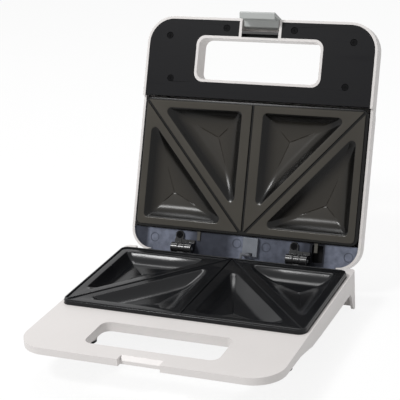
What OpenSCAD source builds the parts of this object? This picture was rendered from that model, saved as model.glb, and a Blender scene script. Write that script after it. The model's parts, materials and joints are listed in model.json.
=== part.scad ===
// Sandwich toaster for four triangular pockets, shown with its lid open.
// Both halves are drawn closed, with the parting plane of the cooking plates at z = 0, the hinge
// side at y = 0 and the handles towards -y. on_base() and on_lid() then set them on the table.

/* [Overall] */
// Width across the side walls
shell_w = 234; // [214:1:260]
// Depth of each cooking plate, from the hinge side to the handle side
plate_d = 128; // [118:1:140]
// White ledge beside each plate
ledge = 3.2; // [3:0.1:5]
// How far each plate stands proud of the white side walls
plate_proud = 3.8; // [3:0.1:5]
// Height of the parting plane above the table
stand_h = 41; // [38:0.5:50]
// Wall of the moulded shells
wall = 2.4; // [2:0.1:2.8]
// Angle between the closed and the open lid
lid_open = 112; // [100:1:114]
// Depth of each handle in front of its plate
handle_reach = 82.5; // [78:0.5:95]
// Corner radius of the handles
handle_r = 27; // [15:1:32]

/* [Handle openings] */
// Half width of the hand opening in the base
grip_half_w = 60.6; // [50:0.2:70]
// Front to back size of the hand opening in the base
grip_d = 41.5; // [34:0.5:43]
// Distance from the plate to the hand openings
grip_gap = 21.4; // [19:0.2:24]
// Corner radius of the hand openings
grip_r = 8; // [4:0.5:12]
// Rim of white shell round the hand opening in the lid
rim = 2.5; // [2:0.1:3.5]

/* [Base] */
// Thickness of the front handle at its front edge
front_t = 6.4; // [6:0.1:9]
// Height of the side wall at its rear end
side_t = 18.1; // [17:0.1:21]
// Depth of the base behind the plate
rear_reach = 14; // [13.5:0.1:16]
// Corner radius at the rear of the base
rear_r = 5; // [3:0.5:8]
// Depth of the belly below the side walls
belly_drop = 5.2; // [4.6:0.1:7]
// Half width of the notch for the latch in the front edge
notch_half_w = 18.8; // [15:0.2:24]
// Depth of that notch
notch_d = 4.8; // [4:0.1:6]
// Height of the sloped catch face in the notch
catch_ramp = 3.4; // [2:0.1:4]
// Distance of the front feet from the middle
foot_x = 92.6; // [80:0.2:98]
// Distance of the front feet in front of the plate's hinge side
foot_y = 121.6; // [110:0.2:124]
// Radius of the rubber pads
pad_r = 6.8; // [5:0.1:8]
// Thickness of the rubber pads
pad_t = 2.6; // [2:0.1:4]

/* [Plates] */
// Thickness of the cast plates
plate_t = 2.4; // [2:0.1:2.6]
// Depth of the plate's skirt
skirt_h = 9; // [7:0.5:11]
// Corner radius of the plates
plate_r = 7; // [4:0.5:12]
// Depth of a pocket at its deepest point
pocket_depth = 10.6; // [8:0.2:10.8]
// Land between a pocket and the edges of the plate
pocket_land = 9.4; // [8.5:0.1:11]
// Land between a pocket and the middle line
pocket_mid = 10.8; // [9.5:0.1:13]
// Land between a pocket and the slanting seam
pocket_seam = 8.4; // [8:0.1:10]
// Corner radius of a pocket
pocket_r = 4.2; // [3:0.1:6]
// Height of the ridges on the base plate
ridge_h = 1; // [0.6:0.1:1.2]
// Width of those ridges
ridge_w = 1.4; // [1:0.1:2.4]
// Side clearance of a ridge in its groove
groove_clear = 0.4; // [0.3:0.05:0.8]
// Distance of the sealing bead from the edge of the base plate
bead_in = 0.6; // [0.4:0.1:1.2]
// Width of the sealing bead
bead_w = 1.5; // [1:0.1:2]
// Gap between the closed plates
close_gap = 0.5; // [0.3:0.1:1]

/* [Lid] */
// Reach of the lid in front of its plate
lid_reach = 80.5; // [76:0.5:92]
// Reach of the lid behind its plate
lid_rear = 23.5; // [23:0.1:27]
// Corner radius at the rear of the lid
lid_rear_r = 22; // [14:1:26]
// Thickness of the lid's handle
lid_handle_t = 19.5; // [18.5:0.1:24]
// Rounding of the handle's outer edge
lid_edge_r = 6; // [4:0.5:6.5]
// Height of the dome over the lid plate
dome_h = 34; // [32:0.5:42]
// Height at which the side walls start to curve into the dome
dome_side = 16; // [14:0.5:18]
// Depth of the curved border of the dome
dome_border = 40; // [30:1:48]
// Thickness of the black inner panel
panel_t = 2.4; // [2:0.1:3]
// Gap between the panel and the lid plate
panel_gap = 1.8; // [1.4:0.1:4]
// Depth of the grey liner behind the parting plane
liner_z = 5; // [5:0.1:6]
// Thickness of the liner
liner_t = 2; // [1.6:0.1:2.4]

/* [Hinge] */
// Distance of the hinge axis behind the plates
hinge_y = 17.7; // [17.5:0.1:18.5]
// Depth of the hinge axis below the parting plane
hinge_drop = 2.8; // [2.6:0.1:3.2]
// Distance of each hinge from the middle
hinge_x = 58.8; // [52:0.2:66]
// Width of each hinge
hinge_w = 21; // [18:0.5:24]
// Radius of the hinge barrel
barrel_r = 5.3; // [4.6:0.1:5.4]
// Radius of the hinge pin
pin_r = 1.5; // [1.2:0.1:2]
// Width of the middle knuckle
mid_knuckle_w = 6.2; // [5:0.2:8]
// Side gap between two knuckles
knuckle_gap = 0.35; // [0.3:0.05:0.6]
// Clearance of a pin in its bore
pin_clear = 0.05; // [0.02:0.01:0.08]

/* [Latch] */
// Half width of the latch
latch_half_w = 17.8; // [14:0.2:18]
// Thickness of the latch plate
latch_t = 4; // [3:0.1:4.2]
// Distance of the latch pin behind the lid's front edge
latch_pin_in = 5.5; // [5:0.1:6.5]
// Height of the latch pin above the parting plane
latch_pin_z = 9; // [8:0.1:10]
// Radius of the latch pin
latch_pin_r = 1.2; // [1:0.1:1.5]
// Length of the hook's lip
lip = 2.6; // [2:0.1:3]
// Thickness of the hook below the handle
hook_t = 3.6; // [2.8:0.1:4]
// Angle from the latched to the shown pose
latch_rest = 9; // [8.5:0.5:12]

/* [Heating] */
// Radius of the heater tube
tube_r = 3; // [2.6:0.1:3.2]
// Half distance between the two legs of the heater
tube_x = 76; // [66:0.5:80]
// Bend radius of the heater
tube_bend = 18; // [12:1:24]
// Sheet thickness of the reflector
sheet_t = 0.6; // [0.5:0.1:0.8]
// Thickness of the clamp bar across the heater
clamp_t = 1; // [0.8:0.1:1.4]

/* [Screws] */
// Shank radius of the casing screws
screw_r = 1.5; // [1.3:0.1:1.8]
// Head radius of the casing screws
head_r = 2.9; // [2.5:0.1:3.2]
// Head height of the casing screws
head_t = 1.6; // [1.2:0.1:2]

/* [Hidden] */
$fn = 48;

// Sizes worked out from the ones above
plate_w = shell_w - 2 * ledge;
front_y = -plate_d - handle_reach;
lid_front_y = -plate_d - lid_reach;
deck_z = -plate_proud;
edge_z = plate_proud + 0.4;
under_front = deck_z - front_t;
under_rear = deck_z - side_t;
hinge_z = -hinge_drop;
seat_clear = 0.3;
grip_front_y = -plate_d - grip_gap - grip_d;
grip_rear_y = -plate_d - grip_gap;
// The rim of the lid's opening stands a little outside the opening of the base
lid_grip_half_w = grip_half_w + rim + 1.4;
lid_grip_front_y = grip_front_y;
lid_grip_rear_y = grip_rear_y + rim + 1.5;
// Underside of the base from front to rear, as [y, z]
step_y = -plate_d + 10;
side_run = [[front_y, under_front], [grip_rear_y, under_front - 2.4],
    [grip_rear_y + 13.4, under_front - 4.6], [step_y, under_rear + 3.5],
    [step_y + 23, under_rear + 2.4], [rear_reach, under_rear]];
// Rows of the stack under a plate, all measured from the parting plane
stack_tube = pocket_depth + plate_t + 0.2 + tube_r;
stack_clamp = stack_tube + tube_r + 0.2;
stack_sheet = stack_clamp + clamp_t;
stack_end = stack_sheet + sheet_t;
// Places of the three bosses that carry a plate, as [x, y]
boss_at = [[-plate_w / 4, -plate_d / 2], [plate_w / 4, -plate_d / 2], [0, -0.72 * plate_d]];
boss_r = 4.2;
clamp_y = -plate_d / 2;

// Cover of the base, with a belly below the heater
cover_t = 2;
cover_in = 0.8;
cover_boss_r = 3.6;
cover_screw_l = 4;
cover_screw_at = [for (y = [grip_front_y + 6, grip_rear_y + 8, rear_reach - 9], side = [-1, 1])
    [side * (shell_w / 2 - 12), y]];
belly_w = plate_w - 30;
belly_front = -plate_d + 16;
belly_rear = -3;
belly_r = 12;
belly_z = under_rear - belly_drop;
pad_plug_r = 2.4;

// Electrical parts in the base
gland_x = -shell_w / 2 + 25;
gland_z = (deck_z + under_rear) / 2;
gland_r = 5;
block = [22, 7.6, 10.4];
block_x = -30;
block_z = under_at(6) + cover_in + cover_t + 0.1;
guide_x = 9.5;
guide_w = 15;
wire_r = 1.4;

// Hinge arms on the base and hinge leaves on the lid
notch_z = deck_z - 9.8;
arm_back = rear_reach - wall;
arm_t = 2.8;
arm_screw_dx = 6.2;
arm_screw_z = under_rear + 4.4;
leaf_t = 2.5;
leaf_screw_dx = -5.8;
leaf_screw_y = 5.2;
leaf_screw_l = 7;
bracket_t = 1.2;
bracket_w = 3.2;

// Panel, latch bay and lamps of the lid
panel_z = close_gap;
seam_gap = 1;
panel_boss_r = 4;
panel_screw_at = [for (side = [-1, 1]) each [[side * (shell_w / 2 - 23.5), lid_front_y + 19],
    [side * (notch_half_w + 15.6), lid_front_y + 9.9], [side * (shell_w / 2 - 28), lid_grip_rear_y - 2]]];
latch_y = lid_front_y + latch_pin_in;
bay_wall = 2.5;
bay_front_y = lid_front_y + 12.1;
bay_slot_y = bay_front_y + bay_wall;
bay_rear_y = lid_grip_front_y + 3.1;
// Half width of the part of the liner that covers the lid's rear rim
liner_half_w = shell_w / 2 - lid_rear_r;
// Round marks that the moulding pins leave on the liner, as [x, y]
mark_at = [[-shell_w / 2 + 25, 10], [-5.5, 8.2], [24.5, 9], [shell_w / 2 - 11, 10.6]];
mark_r = 4.2;
mark_depth = 0.3;
lamp_x = shell_w / 2 - 29;
lamp_y = [grip_front_y + 14, grip_front_y + 30];
lamp_r = 4;

// Middle of the open toaster from front to back, which is the origin
crest = [lid_front_y + lid_edge_r - hinge_y, lid_handle_t - lid_edge_r - hinge_z];
back_y = hinge_y + crest.x * cos(lid_open) + crest.y * sin(lid_open) + lid_edge_r;
mid_y = (front_y + back_y) / 2;

white = "#e6e3e1";
panel_black = "#242427";
coat_black = "#2b2b2c";
coat_brown = "#3a3834";
liner_grey = "#666a74";
latch_grey = "#8c8f8d";
steel = "#b9bcc0";

// Placing
module on_base() translate([0, -mid_y, stand_h]) children();

module turned(angle) {
    translate([0, hinge_y, hinge_z]) rotate([-angle, 0, 0]) translate([0, -hinge_y, -hinge_z]) children();
}

module on_lid() on_base() turned(lid_open) children();

module on_latch() on_lid() translate([0, latch_y, latch_pin_z]) rotate([-latch_rest, 0, 0]) children();

module both_hinges() for (side = [-1, 1]) translate([side * hinge_x, 0, 0]) children();

// Runs a flat outline drawn as [y, z] along x, centred
module across(width) rotate([90, 0, 90]) translate([0, 0, -width / 2]) linear_extrude(width) children();

module along_x(length, radius) rotate([0, 90, 0]) cylinder(h = length, r = radius, center = true);

// Outline with its own radius at the front and at the rear corners
module outline(width, front, rear, front_r, rear_r) {
    half = (front + rear) / 2;
    translate([-width / 2, front + front_r]) square([width, rear - front - front_r - rear_r]);
    translate([-width / 2 + front_r, front]) square([width - 2 * front_r, half - front]);
    translate([-width / 2 + rear_r, half]) square([width - 2 * rear_r, rear - half]);
    for (side = [-1, 1]) {
        translate([side * (width / 2 - front_r), front + front_r]) circle(front_r);
        translate([side * (width / 2 - rear_r), rear - rear_r]) circle(rear_r);
    }
}

module base_outline(inset) {
    outline(shell_w - 2 * inset, front_y + inset, rear_reach - inset, handle_r - inset,
        max(rear_r - inset, 1));
}

module plate_outline(inset) {
    outline(plate_w - 2 * inset, -plate_d + inset, -inset, plate_r - inset, plate_r - inset);
}

module base_grip(grow) {
    outline(2 * (grip_half_w + grow), grip_front_y - grow, grip_rear_y + grow, grip_r + grow,
        grip_r + grow);
}

module lid_grip(inset) {
    outline(2 * (lid_grip_half_w - inset), lid_grip_front_y + inset, lid_grip_rear_y - inset,
        grip_r + 1 - inset / 2, grip_r + 1 - inset / 2);
}

// Pockets: a rounded triangle shrinks towards its incentre while it sinks along a curve
function unit(v) = v / norm(v);
function inward(a, b) = let (d = unit(b - a)) [-d.y, d.x];
function cross2(a, b) = a.x * b.y - a.y * b.x;
function meet(p, d, q, e) = p + d * cross2(q - p, e) / cross2(d, e);
function inset_triangle(t, gaps) = [for (i = [0:2])
    let (a = t[(i + 2) % 3], b = t[i], c = t[(i + 1) % 3])
    meet(a + inward(a, b) * gaps[(i + 2) % 3], b - a, b + inward(b, c) * gaps[i], c - b)];
function incentre(t) = let (a = norm(t[1] - t[2]), b = norm(t[2] - t[0]), c = norm(t[0] - t[1]))
    (a * t[0] + b * t[1] + c * t[2]) / (a + b + c);
function corner_arc(before, at, after, r, steps) =
    let (p = unit(before - at), q = unit(after - at), half = acos(p * q) / 2,
        centre = at + unit(p + q) * r / sin(half), from = -inward(before, at), to = -inward(at, after),
        start = atan2(from.y, from.x), turn = 180 - 2 * half)
    [for (i = [0:steps]) centre + r * [cos(start + turn * i / steps), sin(start + turn * i / steps)]];
function rounded_triangle(t, r, steps) = [for (i = [0:2])
    each corner_arc(t[(i + 2) % 3], t[i], t[(i + 1) % 3], r, steps)];
// Share of the full depth that is reached at share s of the way from the rim to the middle: a
// steep wall that runs out into a nearly flat facet
function sink(s) = 0.74 * (1 - pow(1 - min(s / 0.55, 1), 2.2)) + 0.26 * s;

// Rings of points of a pocket from its rim down, without the point in its middle
function pocket_rings(triangle, gaps, radius, depth, steps) =
    let (inner = inset_triangle(triangle, gaps), middle = incentre(inner),
        rim_points = rounded_triangle(inner, radius, 5))
    [for (k = [0:steps - 1]) let (s = pow(k / steps, 1.5))
        [for (p = rim_points) let (q = middle + (p - middle) * (1 - s)) [q.x, q.y, -depth * sink(s)]]];
function pocket_tip(triangle, gaps, depth) =
    let (middle = incentre(inset_triangle(triangle, gaps))) [middle.x, middle.y, -depth];

function backwards(list) = [for (i = [len(list) - 1:-1:0]) list[i]];

// Closed skin over rings of points that run anticlockwise and follow each other outwards or upwards.
// Both ends are closed flat, or by a point where one is given.
module skin(rings, first = undef, last = undef) {
    n = len(rings[0]);
    m = len(rings);
    sides = [for (k = [0:m - 2], i = [0:n - 1]) let (a = k * n, b = a + n, j = (i + 1) % n)
        each [[a + i, b + i, b + j], [a + i, b + j, a + j]]];
    low = is_undef(first) ? [[for (i = [0:n - 1]) i]] : [for (i = [0:n - 1]) [m * n, i, (i + 1) % n]];
    top = (m - 1) * n;
    tip = is_undef(first) ? m * n : m * n + 1;
    high = is_undef(last) ? [[for (i = [n - 1:-1:0]) top + i]]
        : [for (i = [0:n - 1]) [top + i, tip, top + (i + 1) % n]];
    points = concat([for (ring = rings) each ring], is_undef(first) ? [] : [first],
        is_undef(last) ? [] : [last]);
    polyhedron(points, concat(sides, low, high), convexity = 4);
}

// Cast bowl of one pocket, with its rim at z = 0
module bowl(triangle, gaps) {
    grow = plate_t - 0.2;
    wide = gaps - [grow, grow, grow];
    deep = pocket_depth + grow;
    skin(concat(backwards(pocket_rings(triangle, wide, pocket_r + grow, deep, 4)),
        pocket_rings(triangle, gaps, pocket_r, pocket_depth, 6)),
        pocket_tip(triangle, wide, deep), pocket_tip(triangle, gaps, pocket_depth));
}

// The four triangles between the plate's edges and its seams, each with the land along its edges
function plate_triangles() = let (h = plate_w / 2, d = plate_d)
    [[[[0, 0], [-h, 0], [-h, -d]], [pocket_land, pocket_land, pocket_seam]],
    [[[0, 0], [-h, -d], [0, -d]], [pocket_seam, pocket_land, pocket_mid]],
    [[[0, 0], [0, -d], [h, -d]], [pocket_mid, pocket_land, pocket_seam]],
    [[[0, 0], [h, -d], [h, 0]], [pocket_seam, pocket_land, pocket_land]]];

// Flat outlines of the four pockets, each grown a little
module pocket_outlines(grow) {
    for (row = plate_triangles())
        polygon(rounded_triangle(inset_triangle(row[0], row[1] - [grow, grow, grow]), pocket_r + grow, 5));
}

// Lines along the three seams of a plate
module seams(width) {
    intersection() {
        plate_outline(bead_in + bead_w / 2);
        union() {
            translate([-width / 2, -plate_d]) square([width, plate_d]);
            for (side = [-1, 1])
                rotate([0, 0, side * atan2(plate_w / 2, plate_d)])
                    translate([-width / 2, -2 * plate_d]) square([width, 2 * plate_d]);
        }
    }
}

module ring(outer, inner) {
    difference() {
        plate_outline(outer);
        plate_outline(inner);
    }
}

// Cast plate with its land at z = 0, its pockets and bosses below
module cast_plate() {
    difference() {
        union() {
            translate([0, 0, -plate_t]) linear_extrude(plate_t) difference() {
                plate_outline(0);
                pocket_outlines(plate_t / 2);
            }
            translate([0, 0, -skirt_h]) linear_extrude(skirt_h - plate_t / 2) ring(0, plate_t);
            for (row = plate_triangles()) bowl(row[0], row[1]);
            for (i = [0:2]) {
                low = i < 2 ? stack_clamp : stack_sheet;
                translate([boss_at[i].x, boss_at[i].y, -low]) cylinder(h = low - plate_t / 2, r = boss_r);
            }
        }
        for (p = boss_at)
            translate([p.x, p.y, -stack_end])
                cylinder(h = stack_end - plate_t - 1, r = screw_r + pin_clear);
    }
}

module base_plate() color(coat_black) on_base() {
    cast_plate();
    translate([0, 0, -plate_t / 2]) linear_extrude(ridge_h + plate_t / 2) union() {
        seams(ridge_w);
        ring(bead_in, bead_in + bead_w);
    }
}

module lid_plate() color(coat_brown) on_lid() translate([0, 0, close_gap]) mirror([0, 0, 1]) difference() {
    cast_plate();
    translate([0, 0, -ridge_h - close_gap]) linear_extrude(ridge_h + 2) union() {
        seams(ridge_w + 2 * groove_clear);
        ring(-1, bead_in + bead_w + groove_clear);
    }
}

// Base
module leg_profile() polygon([[-6, under_rear + 0.6], [-3.4, under_rear - 0.6], [-1.6, under_rear - 3],
    [3.2, -stand_h + 3.4], [5, -stand_h + 0.9], [7, -stand_h], [10.4, -stand_h],
    [rear_reach - 1.2, -stand_h + 1.4], [rear_reach, -stand_h + 4], [rear_reach, under_rear + 2],
    [-6, under_rear + 2]]);

module side_profile(lift) polygon(concat([for (p = side_run) [p.x, p.y + lift]],
    [[rear_reach, deck_z], [front_y, deck_z]]));

module casing_body() {
    intersection() {
        translate([0, 0, -stand_h]) linear_extrude(stand_h + deck_z) base_outline(0);
        across(shell_w) union() {
            side_profile(0);
            leg_profile();
        }
    }
}

module base_casing() color(white) on_base() {
    catch_y = front_y + notch_d;
    leg_w = 12;
    // The top slopes down behind the plate from here
    slope_y = 8;
    slope_drop = 2.7;
    difference() {
        casing_body();
        difference() {
            translate([0, 0, -stand_h - 1]) linear_extrude(stand_h + 1 + deck_z - wall) base_outline(wall);
            linear_extrude(4 * stand_h, center = true) base_grip(wall);
            translate([-notch_half_w - wall, front_y, -stand_h])
                cube([2 * (notch_half_w + wall), notch_d + wall, stand_h]);
            translate([-shell_w / 2, slope_y, deck_z - wall - 1.6]) cube([shell_w, rear_reach, stand_h]);
            cover_bosses(0);
        }
        // Hand opening and the well for the plate
        linear_extrude(4 * stand_h, center = true) base_grip(0);
        linear_extrude(4 * stand_h, center = true) plate_outline(-seat_clear);
        across(shell_w - 2 * leg_w) polygon([[slope_y, deck_z + 1], [slope_y, deck_z],
            [rear_reach, deck_z - slope_drop], [rear_reach + 1, deck_z - slope_drop],
            [rear_reach + 1, deck_z + 1]]);
        // Notch with the sloped catch
        across(2 * notch_half_w) polygon([[front_y - 1, 1], [catch_y + catch_ramp, 1],
            [catch_y + catch_ramp, deck_z], [catch_y, deck_z - catch_ramp], [catch_y, -stand_h],
            [front_y - 1, -stand_h]]);
        // Space between the rear legs
        translate([-shell_w / 2 + leg_w, -8, -2 * stand_h + under_rear])
            cube([shell_w - 2 * leg_w, 40, 2 * stand_h]);
        // Openings for the hinges, the wires and the cord gland
        both_hinges() translate([-hinge_w / 2 - 1.2, arm_back - 4, notch_z])
            cube([hinge_w + 2.4, 20, 20]);
        translate([-1, arm_back - 3, deck_z - 9]) cube([9, 20, 20]);
        translate([gland_x, rear_reach, gland_z]) rotate([90, 0, 0])
            cylinder(h = 4 * wall, r = gland_r + 0.2, center = true);
        for (p = arm_screw_at()) translate([p.x, rear_reach, p.y]) rotate([90, 0, 0])
            cylinder(h = 3 * wall, r = screw_r + pin_clear, center = true);
        cover_screws_at() cylinder(h = cover_screw_l - 0.8, r = screw_r + pin_clear);
    }
}

// Height of the underside of the base at a given y
function under_at(y) = lookup(y, side_run);

module cover_screws_at() for (p = cover_screw_at)
    translate([p.x, p.y, under_at(p.y) + cover_in + cover_t - 0.2]) children();

module cover_bosses(grow) for (p = cover_screw_at) {
    low = under_at(p.y - cover_boss_r) + cover_in + cover_t + 0.1;
    translate([p.x, p.y, low]) cylinder(h = deck_z - wall / 2 - low, r = cover_boss_r + grow);
}

// Rounded outline of the belly, which the reflectors and the dish over the lid plate share
module belly(inset) outline(belly_w - 2 * inset, belly_front + inset, belly_rear - inset, belly_r - inset,
    belly_r - inset);

module base_cover() color(white) on_base() {
    foot_top = under_at(-foot_y) + cover_in + cover_t;
    difference() {
        union() {
            intersection() {
                translate([0, 0, -stand_h]) linear_extrude(stand_h) difference() {
                    base_outline(wall + seat_clear);
                    base_grip(wall + seat_clear);
                }
                across(shell_w) difference() {
                    side_profile(cover_in);
                    translate([0, cover_t]) side_profile(cover_in);
                }
            }
            translate([0, 0, belly_z]) linear_extrude(under_rear + cover_in + cover_t + 1.2 - belly_z)
                belly(0);
            for (side = [-1, 1]) translate([side * foot_x, -foot_y, -stand_h + pad_t])
                cylinder(h = foot_top + stand_h - pad_t - 0.5, r1 = pad_r + 0.5, r2 = pad_r + 2.8);
        }
        // Inside of the belly, which the posts of the plate stand in
        difference() {
            translate([0, 0, belly_z + cover_t]) linear_extrude(stand_h) belly(cover_t);
            for (p = boss_at) translate([p.x, p.y, belly_z])
                cylinder(h = -stack_end - belly_z, r = boss_r + 0.8);
        }
        // Room for the notch of the latch
        translate([-notch_half_w - wall - seat_clear, front_y, -stand_h])
            cube([2 * (notch_half_w + wall + seat_clear), notch_d + wall + seat_clear, stand_h]);
        // Air slots in the floor
        for (share = [0.14, 0.78], i = [-3:3])
            translate([i * 8 - 1.5, belly_front + (belly_rear - belly_front) * share, belly_z - 1])
                cube([3, 14, cover_t + 2]);
        // Screws of the plate, the cover and the foot pads
        for (p = boss_at) translate([p.x, p.y, belly_z - 1]) {
            cylinder(h = stand_h, r = screw_r + 0.3);
            cylinder(h = 1 + head_t + 0.2, r = head_r + 0.3);
        }
        for (p = cover_screw_at) translate([p.x, p.y, under_at(p.y) + cover_in]) {
            cylinder(h = 3 * cover_t, r = screw_r + 0.3, center = true);
            translate([0, 0, -1]) cylinder(h = 1 + 0.9, r = head_r + 0.3);
        }
        for (side = [-1, 1]) translate([side * foot_x, -foot_y, -stand_h])
            cylinder(h = pad_t + 5, r = pad_plug_r + pin_clear);
    }
}

// Casing screw with its head below z = 0 and its shank above
module screw(length) {
    difference() {
        translate([0, 0, -head_t]) cylinder(h = head_t, r = head_r);
        for (turn = [0, 90]) rotate([0, 0, turn]) translate([-1.6, -0.35, -head_t - 1]) cube([3.2, 0.7, 1.8]);
    }
    cylinder(h = length, r = screw_r);
}

module base_cover_screws() color(steel) on_base() for (p = cover_screw_at)
    translate([p.x, p.y, under_at(p.y) + cover_in + 0.9]) screw(cover_screw_l);

module front_foot_pads() color("#1c1c1d") on_base() for (side = [-1, 1])
    translate([side * foot_x, -foot_y, -stand_h]) {
        cylinder(h = pad_t, r = pad_r);
        cylinder(h = pad_t + 4, r = pad_plug_r);
    }

module base_plate_screws() color(steel) on_base() for (p = boss_at)
    translate([p.x, p.y, belly_z + head_t + 0.2]) screw(-stack_clamp + 6 - belly_z);

// Bent heater tube, open towards the hinge
module heater() {
    rear = belly_rear - 9;
    front = belly_front + cover_t + tube_r + 2;
    for (side = [-1, 1]) {
        translate([side * tube_x, rear, 0]) rotate([90, 0, 0])
            cylinder(h = rear - front - tube_bend, r = tube_r);
        translate([side * (tube_x - tube_bend), front + tube_bend, 0]) rotate([0, 0, side > 0 ? -90 : 180])
            rotate_extrude(angle = 90) translate([tube_bend, 0]) circle(tube_r);
        translate([side * tube_x, rear, 0]) rotate([-90, 0, 0]) cylinder(h = 3.4, r = tube_r / 2);
    }
    translate([0, front, 0]) along_x(2 * (tube_x - tube_bend), tube_r);
}

module base_heater() color("#6f6b66") on_base() translate([0, 0, -stack_tube]) heater();

module lid_heater() color("#6f6b66") on_lid() translate([0, 0, close_gap + stack_tube]) heater();

// Bar that holds the heater against the pockets
module heater_clamp() translate([0, clamp_y, 0]) difference() {
    linear_extrude(clamp_t) outline(2 * tube_x + 16, -5, 5, 3, 3);
    for (i = [0:1]) translate([boss_at[i].x, 0, -1]) cylinder(h = clamp_t + 2, r = screw_r + 0.3);
}

module base_heater_clamp() color(steel) on_base() translate([0, 0, -stack_sheet]) heater_clamp();

module lid_heater_clamp() color(steel) on_lid() translate([0, 0, close_gap + stack_clamp]) heater_clamp();

// Folded sheet that throws the heat back, with its rim towards the plate
module reflector() {
    rim_h = 4;
    difference() {
        linear_extrude(rim_h) belly(cover_t + 1);
        translate([0, 0, sheet_t]) linear_extrude(rim_h) belly(cover_t + 1 + sheet_t);
        for (p = boss_at) translate([p.x, p.y, -1]) cylinder(h = 3, r = screw_r + 0.3);
    }
}

module base_reflector() color("#c9cbcd") on_base() translate([0, 0, -stack_end]) reflector();

module lid_reflector() color("#c9cbcd") on_lid() translate([0, 0, close_gap + stack_end])
    mirror([0, 0, 1]) reflector();

// Small electrical parts under the base plate
module thermostat() color("#8d7f6a") on_base() translate([0, -13, -plate_t]) {
    translate([0, 0, -3]) cylinder(h = 3, r = 6.4);
    translate([0, 0, -9]) cylinder(h = 6.2, r = 5.6);
    translate([-1.2, -5, -12.5]) cube([0.8, 10, 4]);
    translate([0.6, -5, -12.5]) cube([0.8, 10, 4]);
}

module thermal_fuse() color("#d9d4c6") on_base() translate([36, -plate_d + 4.9, -plate_t - 2.1]) {
    along_x(22, 2);
    along_x(36, 0.6);
}

module terminal_block() color("#efeadb") on_base() translate([block_x, 2.2, block_z]) difference() {
    translate([-block.x / 2, 0, 0]) cube(block);
    for (i = [-1:1]) translate([i * 7, block.y / 2, block.z - 3]) cylinder(h = 6, r = 1.8);
}

module cord_gland() color("#2a2a2b") on_base()
    translate([gland_x, rear_reach, gland_z]) rotate([-90, 0, 0]) difference() {
    union() {
        cylinder(h = 2, r = gland_r + 1.8);
        translate([0, 0, -wall - 1]) cylinder(h = wall + 1, r = gland_r);
    }
    cylinder(h = 20, r = 3.3, center = true);
}

// Sleeved wire along a chain of points, mitred at its corners
module wire(path, up) {
    last = len(path) - 1;
    skin([for (i = [0:last])
        let (d = unit(i > 0 ? path[i] - path[i - 1] : path[1] - path[0]),
            e = i < last ? unit(path[i + 1] - path[i]) : d,
            n = unit(d + e), side = unit(cross(up, d)), rise = cross(d, side))
        [for (a = [0:30:330]) let (o = wire_r * (side * cos(a) + rise * sin(a)))
            path[i] + o - d * ((o * n) / (d * n))]]);
}

module mains_leads() color("#8a5a3a") on_base()
    wire([[gland_x, 8.4, gland_z], [gland_x, 6, gland_z], [block_x - block.x / 2 - 0.2, 6, gland_z]],
        [0, 0, 1]);

module base_wiring() color("#d8d4c8") on_base() {
    turn_x = guide_x - 6.5;
    wire([[block_x + block.x / 2 + 0.2, 6, gland_z], [turn_x, 6, gland_z], [turn_x, hinge_y, hinge_z],
        [guide_x - 2.6, hinge_y, hinge_z]], [0, 0, 1]);
}

// Hinges
function arm_screw_at() = [for (side = [-1, 1], dx = [-1, 1])
    [side * hinge_x + dx * arm_screw_dx, arm_screw_z]];

module hinge_arms() color("#1e1e20") on_base() both_hinges() {
    // Face of the stop that the open lid rests on
    stop = barrel_r + seat_clear;
    lean = lid_open - 90;
    touch = [hinge_y - stop * sin(lean), hinge_z - stop * cos(lean)];
    reach_y = hinge_y + 3.9;
    tongue_z = notch_z + 0.3;
    difference() {
        union() {
            across(hinge_w) polygon([[arm_back - arm_t, tongue_z], [reach_y, tongue_z],
                [reach_y, touch.y - (reach_y - touch.x) * tan(lean)], touch,
                [arm_back - arm_t, hinge_z - barrel_r - 0.6]]);
            across(mid_knuckle_w) union() {
                translate([hinge_y, hinge_z]) circle(barrel_r - 0.3);
                polygon([[arm_back, notch_z + 1], [hinge_y + 1, notch_z + 1], [hinge_y, hinge_z + 1],
                    [hinge_y - 2, hinge_z + 1.6], [arm_back - 0.4, hinge_z - barrel_r]]);
            }
            translate([-hinge_w / 2, arm_back - arm_t - 0.1, under_rear + cover_in + cover_t + 0.2])
                cube([hinge_w, arm_t, notch_z - under_rear - cover_in - cover_t + 2]);
        }
        translate([0, hinge_y, hinge_z]) along_x(hinge_w + 2, pin_r + pin_clear / 2);
        for (dx = [-1, 1]) translate([dx * arm_screw_dx, arm_back, arm_screw_z]) rotate([90, 0, 0])
            cylinder(h = 20, r = screw_r + pin_clear, center = true);
    }
}

module hinge_arm_screws() color(steel) on_base() for (p = arm_screw_at())
    translate([p.x, rear_reach, p.y]) rotate([90, 0, 0]) screw(wall + arm_t - 0.4);

module hinge_pins() color(steel) on_base() both_hinges() translate([0, hinge_y, hinge_z])
    along_x(hinge_w + 0.6, pin_r);

function leaf_screw_at() = [for (side = [-1, 1]) [side * hinge_x + leaf_screw_dx, leaf_screw_y]];

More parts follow.
